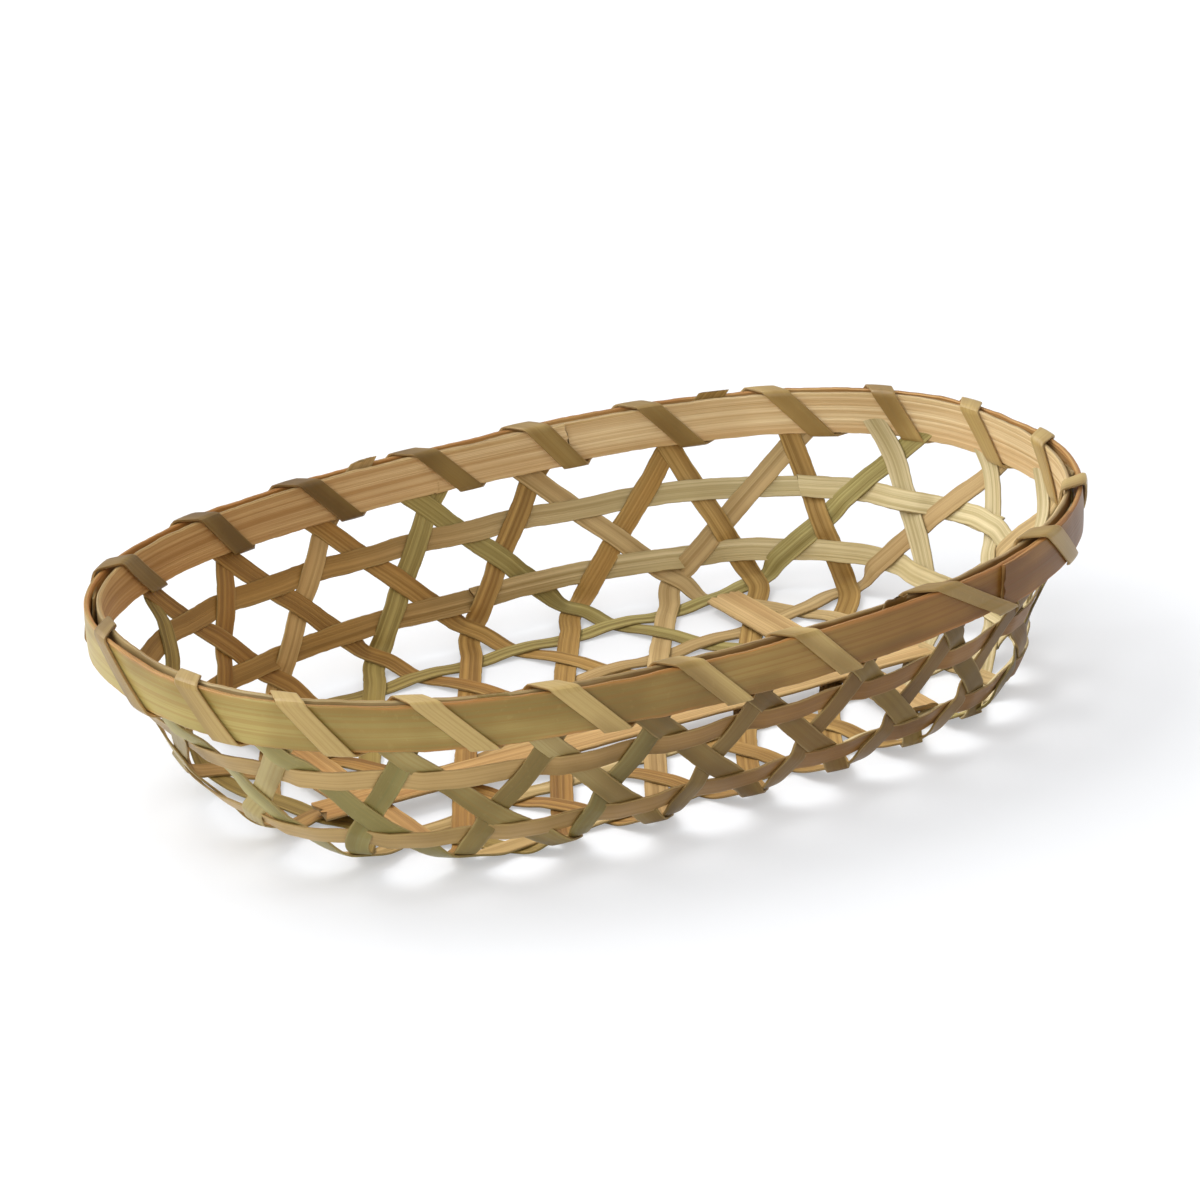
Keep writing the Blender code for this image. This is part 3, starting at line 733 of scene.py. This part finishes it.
bandLook = {
    "inner": {
        **tones((204, 168, 114), (246, 222, 174), (226, 188, 134),
                (150, 128, 84), (184, 166, 120), (164, 136, 90)),
        "line": tint(160, 114, 62), "lineStrength": 0.6,
        # painted shade: the inner band's flesh darker towards the left end
        "fleshPaintedShade": (tint(212, 186, 150), tint(255, 255, 255)),
    },
    "outer": {
        **tones((190, 144, 84), (224, 182, 118), (196, 140, 76),
                (144, 122, 62), (182, 162, 98), (156, 112, 50)),
        "edge": tint(190, 124, 62), "edgeWear": 0.6,
        # painted shade: the outer band's skin darker towards the right end
        "skinPaintedLightSpan": (-0.08, 0.05), "skinPaintedLight": (tint(255, 255, 244), tint(192, 152, 100)),
    },
}
for key, side, joint in (("inner", -1, bands["innerJoint"]), ("outer", 1, bands["outerJoint"])):
    line = bandLine(side, joint)
    piece = stripMesh(f"rim_{key}_band_bent", line, rim["bandHeight"], bands["thickness"], 900 + 50 * side,
                      slants=(0.1, -0.12), fray=0.0004)
    finish = bambooFinish(f"{key}_band_bamboo", {**common, **bandLook[key]})
    settle(piece, finish, f"{key}_band", f"rim_{key}_band")
print("rim bands: 2")


binding = {
    "width": 0.0040, "thickness": 0.0005, "clear": 0.00028, "slant": 0.80, "bend": 0.0006, "step": 0.0006,
    "cornerShares": ((0.04, 0.07), (0.42, 0.45), (0.56, 0.59), (0.90, 0.93)),
    "cornerCutShare": 0.3,      # of the bend, which the point on a corner's diagonal keeps off it
    "grainLean": 0.69,          # how far the fibres lean with the slant
    "widthSway": (0.05, 0.02), "seed": 71,
    "lapRun": (-0.009, -0.005),   # shares past a band's end over which the winding comes down again
    # columns at which the turns begin, with none between 13 and 14. The wraps were read by eye off the photo,
    # a scratch script gave the column of most of them, and the way to a turn's start was taken off by hand
    "turns": (11.3, 12.37, 14.15, 15.2, 16.35, 17.4, 18.4, 19.3, 20.1, 21.22, 22.16, 23.24, 24.36, 25.5,
              26.36, 27.26, 28.36, 29.2, 30.15, 31.2, 32.3),
}


def lapStep(share, end):
    # how far a band stands off where it runs over its own start: most at its end, with a little run past it
    past = (share - end + 0.5) % 1 - 0.5
    places = [*binding["lapRun"], 0, bands["lapShare"]]
    return bands["thickness"] * bands["liftShare"] * np.interp(past, places, [0, 1, 1, 0])


def bindingMesh():
    # round both bands: up outside, over the top, down inside and under, always on to higher columns; each
    # corner of a turn is cut off by three stations, and everything runs evenly between the stations
    away = bands["near"] + bands["thickness"] + binding["clear"] + binding["thickness"] / 2
    high = binding["clear"] + binding["thickness"] / 2
    low = -rim["bandHeight"] - high
    bend, diagonal = binding["bend"], math.sqrt(0.5)
    cornerCut = bend * binding["cornerCutShare"]
    corners = ((away, low), (away, high), (-away, high), (-away, low))
    turn = []
    for (out, rise), (near, far) in zip(corners, binding["cornerShares"]):
        s, t = math.copysign(1, out), math.copysign(1, rise)
        level, upright = (out - s * bend, rise, 0.0, t), (out, rise - t * bend, s, 0.0)
        corner = (out - s * cornerCut, rise - t * cornerCut, s * diagonal, t * diagonal)
        first, last = (level, upright) if s * t < 0 else (upright, level)
        turn += [(*first, near), (*corner, (near + far) / 2), (*last, far)]
    rows = []
    for first, second in zip(binding["turns"], binding["turns"][1:]):
        a, b = float(columnShare(first)), float(columnShare(second))
        rows += [(out, rise, nx, nz, a + (b - a) * share) for out, rise, nx, nz, share in turn]
    rows = np.array(rows)
    flat = np.stack([rows[:, 0], rows[:, 1], rows[:, 4] * rimRound], -1)
    run = np.concatenate([[0], np.cumsum(np.linalg.norm(np.diff(flat, axis=0), axis=1))])
    even = np.linspace(0, run[-1], int(run[-1] / binding["step"]))
    rows = np.stack([np.interp(even, run, rows[:, k]) for k in range(5)], -1)
    inner, outer = (lapStep(rows[:, 4], float(columnShare(bands[key])))
                    for key in ("innerJoint", "outerJoint"))
    rows[:, 0] += np.where(rows[:, 0] > 0, outer * rows[:, 0], inner * rows[:, 0]) / away
    loop = stripSection()
    half = binding["width"] / 2 / binding["slant"] / rimRound
    sway, swayLength = binding["widthSway"]
    wide = half * (1 + sway * wander(even, swayLength, binding["seed"]))
    normal = unit(rows[:, 2:4])
    rise = -loop[None, :, 1] * binding["thickness"] / 2
    points = rimPoint(rows[:, 4][:, None] + loop[None, :, 0] * wide[:, None],
                      rows[:, 0][:, None] + normal[:, :1] * rise, rows[:, 1][:, None] + normal[:, 1:] * rise)
    size, count = len(loop), len(even)
    across = loop[None, :, 0] * binding["width"] / 2 + 0 * even[:, None]
    grain = np.stack([even[:, None] - across * binding["grainLean"] / binding["slant"],
                      across + section["skinDepth"] * loop[None, :, 2]], -1).reshape(-1, 2)
    values = np.broadcast_to(loop[None], (count, size, 4)).reshape(-1, 4)
    return meshOf("rim_binding_wound", points.reshape(-1, 3), sweptFaces(count, size, flipped=True), grain,
                  values[:, 2], values[:, 3])


bindingLook = {
    **tones((176, 140, 82), (220, 186, 126), (196, 154, 94), (144, 118, 66), (186, 160, 102), (158, 124, 68)),
    "edge": tint(184, 146, 86), "wax": 0.20, "skinRough": 0.42,
    # painted reflection and painted shade: the binding's skin lighter along the near side, where it mirrors
    # the bright surroundings, and darker along the far side
    "skinPaintedLightAxis": (0.5, -1, 0), "skinPaintedLightSpan": (-0.075, 0.0),
    "skinPaintedLight": (tint(186, 172, 136), tint(255, 252, 242)),
}
settle(bindingMesh(), bambooFinish("binding_bamboo", {**common, **bindingLook}), "binding", "rim_binding")
print("binding wound")


braces = {
    "width": 0.0078, "thickness": 0.0007, "step": 0.0012,
    "left": ((-0.0528, -0.0290), (-0.0528, 0.0280), 0.00190),   # both ends of its middle line, and its level
    "right": ((0.0447, -0.0330), (0.0447, 0.0340), 0.00190),
    "long": ((-0.0610, -0.0118), (0.0590, -0.0118), 0.00290),
}
braceLook = {
    **tones((180, 146, 94), (222, 190, 136), (198, 158, 104),
            (150, 128, 84), (184, 166, 120), (164, 136, 90)),
    "line": tint(142, 98, 52), "lineStrength": 0.7,
}
for number, key in enumerate(("left", "right", "long")):
    start, end, level = braces[key]
    mids = np.array([(*start, level), (*end, level)])
    way = unit(mids[1:] - mids[:1]).repeat(2, 0)
    line = smoothLine(mids, way, np.array([[0, 0, 1.0]] * 2), braces["step"])
    piece = stripMesh(f"floor_brace_{key}_split", line, braces["width"], braces["thickness"],
                      1200 + 20 * number, slants=(0.05, -0.08), fray=0.0007)
    settle(piece, bambooFinish(f"brace_{key}_bamboo", {**common, **braceLook}), "brace", f"floor_brace_{key}")
print("floor braces: 3")


def placeCamera():
    # at the photo's spot, looking along minus its back direction
    spot, right, up, back = viewAxes()
    camera = bpy.data.objects.new("camera", bpy.data.cameras.new("camera"))
    camera.data.lens, camera.data.sensor_width = view["lens"], view["sensor"]
    camera.data.clip_start, camera.data.clip_end = 0.05, 20
    turn = Matrix((right, up, back)).transposed().to_4x4()
    camera.matrix_world = Matrix.Translation(Vector(spot)) @ turn
    bpy.context.scene.collection.objects.link(camera)
    bpy.context.scene.camera = camera


def whiteGround():
    # a wide pale sheet that the camera sees nearly white, with the basket's shadow left on it
    size = 3.0
    mesh = bpy.data.meshes.new("ground")
    corners = [(-size, -size, 0), (size, -size, 0), (size, size, 0), (-size, size, 0)]
    mesh.from_pydata(corners, [], [(0, 1, 2, 3)])
    ground = bpy.data.objects.new("ground", mesh)
    ground.location.z = -0.0001
    bpy.context.scene.collection.objects.link(ground)
    material = bpy.data.materials.new("white_paper")
    material.use_nodes = True
    tree = material.node_tree
    shader = tree.nodes["Principled BSDF"]
    shader.inputs["Base Color"].default_value = (0.86, 0.87, 0.89, 1)
    shader.inputs["Roughness"].default_value = 0.9
    start = Wire(tree)
    seen = start.add("ShaderNodeLightPath", {}, {})
    glow = start.add("ShaderNodeEmission", {}, {"Color": (1, 1, 1, 1), "Strength": 1.0})
    both = start.add("ShaderNodeMixShader", {}, {0: seen * 0.40, 1: Wire(tree, shader.outputs[0]), 2: glow})
    tree.links.new(both.socket, tree.nodes["Material Output"].inputs["Surface"])
    mesh.materials.append(material)


lamps = {   # place, size and power of each soft lamp
    "key": ((-0.62, 0.70, 1.05), 1.10, 10.5),
    "window": ((-0.22, 0.86, 1.10), 1.20, 9.5),
    "fill": ((-0.9, -0.9, 0.8), 1.2, 6.5),
    "side": ((1.2, -0.2, 0.7), 1.0, 3.0),
}


def softLamps():
    for name, (spot, size, power) in lamps.items():
        data = bpy.data.lights.new(name, "AREA")
        data.size, data.energy = size, power
        lamp = bpy.data.objects.new(name, data)
        lamp.location = spot
        lamp.rotation_euler = (Vector((0, 0, 0.02)) - Vector(spot)).to_track_quat("-Z", "Y").to_euler()
        bpy.context.scene.collection.objects.link(lamp)
    world = bpy.data.worlds.new("studio")
    world.use_nodes = True
    tree = world.node_tree
    start = Wire(tree)
    seen = start.add("ShaderNodeLightPath", {}, {})
    dim = start.add("ShaderNodeBackground", {}, {"Color": (0.95, 0.97, 1, 1), "Strength": 0.55})
    white = start.add("ShaderNodeBackground", {}, {"Color": (1, 1, 1, 1), "Strength": 1.0})
    both = start.add("ShaderNodeMixShader", {}, {0: seen, 1: dim, 2: white})
    tree.links.new(both.socket, tree.nodes["World Output"].inputs["Surface"])
    bpy.context.scene.world = world


placeCamera()
whiteGround()
softLamps()
bpy.context.scene.view_settings.view_transform = "Standard"
print("camera, ground and lamps placed")
